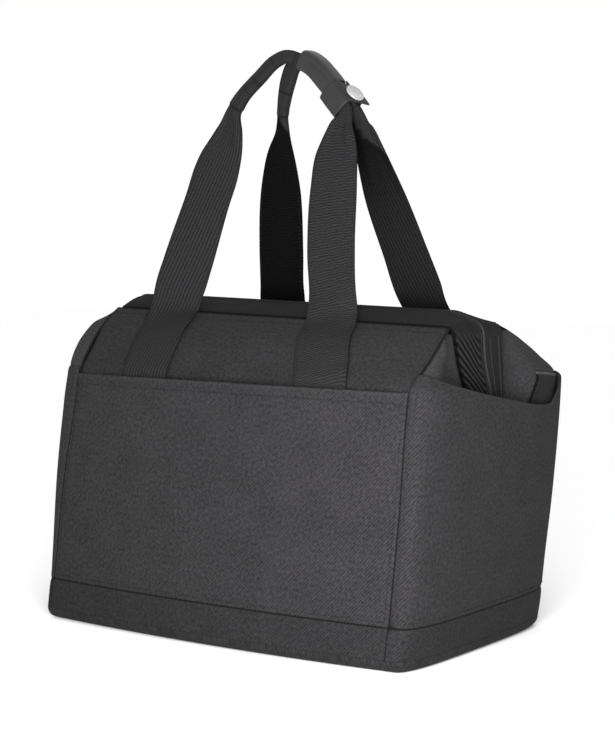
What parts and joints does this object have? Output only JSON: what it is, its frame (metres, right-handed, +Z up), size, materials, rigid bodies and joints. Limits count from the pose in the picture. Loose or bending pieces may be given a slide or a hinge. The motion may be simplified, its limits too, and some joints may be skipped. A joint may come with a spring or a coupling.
{
  "type": "tool bag",
  "caption": "Soft canvas tool bag with open pockets round a zipped roof-shaped body, and webbing handles held together at the grip by a wrap with a snap.",
  "frame": {"origin": "on the flat underside of the bag, under the middle of its base", "axes": "+X to the bag's right seen from the front, +Y to the back, +Z up through the handles"},
  "size_m": [0.4046, 0.2635, 0.4974],
  "materials": {
    "canvas": "matte twill",
    "roof_canvas": "matte twill",
    "hem": "smooth tape",
    "webbing": "ribbed webbing",
    "wrap": "smooth satin",
    "zip": "matte",
    "zip_metal": "satin",
    "snap_metal": "satin"
  },
  "bodies": {
    "root": {"base_panel": "canvas", "base_band": "canvas", "front_pocket": "canvas", "back_pocket": "canvas", "side_pocket_left": "canvas", "side_pocket_right": "canvas", "front_panel": "roof_canvas", "back_panel": "roof_canvas", "gusset_left": "roof_canvas", "gusset_right": "roof_canvas", "corner_patch": "roof_canvas", "hem_front": "hem", "hem_back": "hem", "zip_chain": "zip", "zip_slider": "zip_metal", "handle_front": "webbing", "handle_back": "webbing", "handle_wrap": "wrap", "snap_tab": "wrap", "snap_cap": "snap_metal"}
  },
  "joints": []
}
